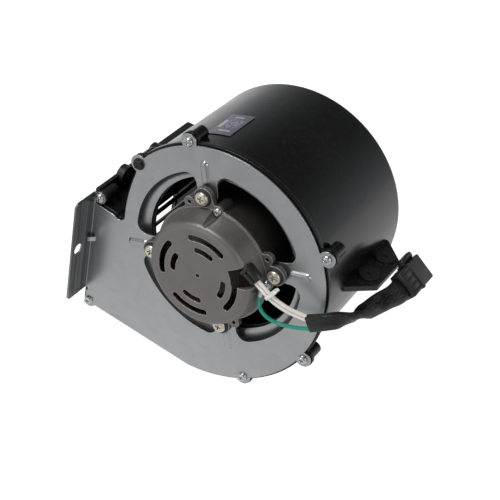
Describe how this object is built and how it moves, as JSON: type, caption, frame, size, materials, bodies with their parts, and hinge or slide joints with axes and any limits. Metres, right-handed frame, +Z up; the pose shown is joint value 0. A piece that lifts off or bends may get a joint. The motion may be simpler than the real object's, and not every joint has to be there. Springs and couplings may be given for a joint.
{
  "type": "combustion fan",
  "caption": "Scroll-housed centrifugal fan with a flanged outlet, an open inlet round a rubber-mounted motor, and a short sleeved lead with a plug.",
  "frame": {"origin": "on the fan axis at the outer face of the cover plate", "axes": "-Y along the fan axis towards the motor, +Y towards the closed end of the drum, outlet facing -X, +Z up"},
  "size_m": [0.2423, 0.1525, 0.2021],
  "materials": {
    "black_pvc_sleeve": "glossy wrinkled",
    "black_rubber": "satin",
    "black_steel": "blackened",
    "bright_steel": "ground",
    "bronze": "sintered",
    "copper_enamel": "varnished",
    "cream_zinc": "zinc plated",
    "dark_nylon": "matte",
    "die_cast_aluminium": "as cast",
    "felt": "felt",
    "galvanised_sheet": "satin galvanised",
    "gasket_foam": "matte",
    "gloss_black_plastic": "glossy",
    "green_pvc": "satin",
    "label_film": "satin film",
    "lamination_steel": "rolled edge",
    "matte_black_plastic": "matte",
    "rubber": "matte",
    "tinned_terminal": "tinned",
    "wheel_steel": "galvanised",
    "white_nylon": "translucent",
    "white_pvc": "satin",
    "zinc_screw": "zinc plated"
  },
  "bodies": {
    "housing": {"cap_screws": "zinc_screw", "connector_housing": "dark_nylon", "connector_terminals": "tinned_terminal", "cover_plate": "galvanised_sheet", "cover_screws": "zinc_screw", "earth_screw": "zinc_screw", "earth_wire": "green_pvc", "front_bush": "bronze", "front_cap": "die_cast_aluminium", "harness_sleeve": "black_pvc_sleeve", "hex_bolt": "black_steel", "housing_shell": "gloss_black_plastic", "motor_grommets": "rubber", "mount_nuts": "zinc_screw", "mount_screws": "cream_zinc", "mount_sleeves": "zinc_screw", "oil_felt": "felt", "outlet_frame": "matte_black_plastic", "plate_gasket": "gasket_foam", "rating_label": "label_film", "rear_bracket": "die_cast_aluminium", "rear_bush": "bronze", "ring_terminal": "tinned_terminal", "side_foot": "matte_black_plastic", "stator_core": "lamination_steel", "white_wire_a": "white_pvc", "white_wire_b": "white_pvc", "windings": "copper_enamel", "wire_boot": "black_rubber", "zip_tie": "white_nylon"},
    "rotor": {"shaft": "bright_steel", "rotor_core": "lamination_steel", "thrust_washers": "bright_steel", "wheel_hub": "wheel_steel", "hub_screw": "bright_steel", "wheel_back_disc": "wheel_steel", "wheel_blades": "wheel_steel", "wheel_front_ring": "wheel_steel"}
  },
  "joints": [
    {"name": "fan_spin", "type": "hinge", "parent": "housing", "child": "rotor", "pos_m": [0, 0, 0], "axis": [0, 1, 0], "continuous": true}
  ]
}
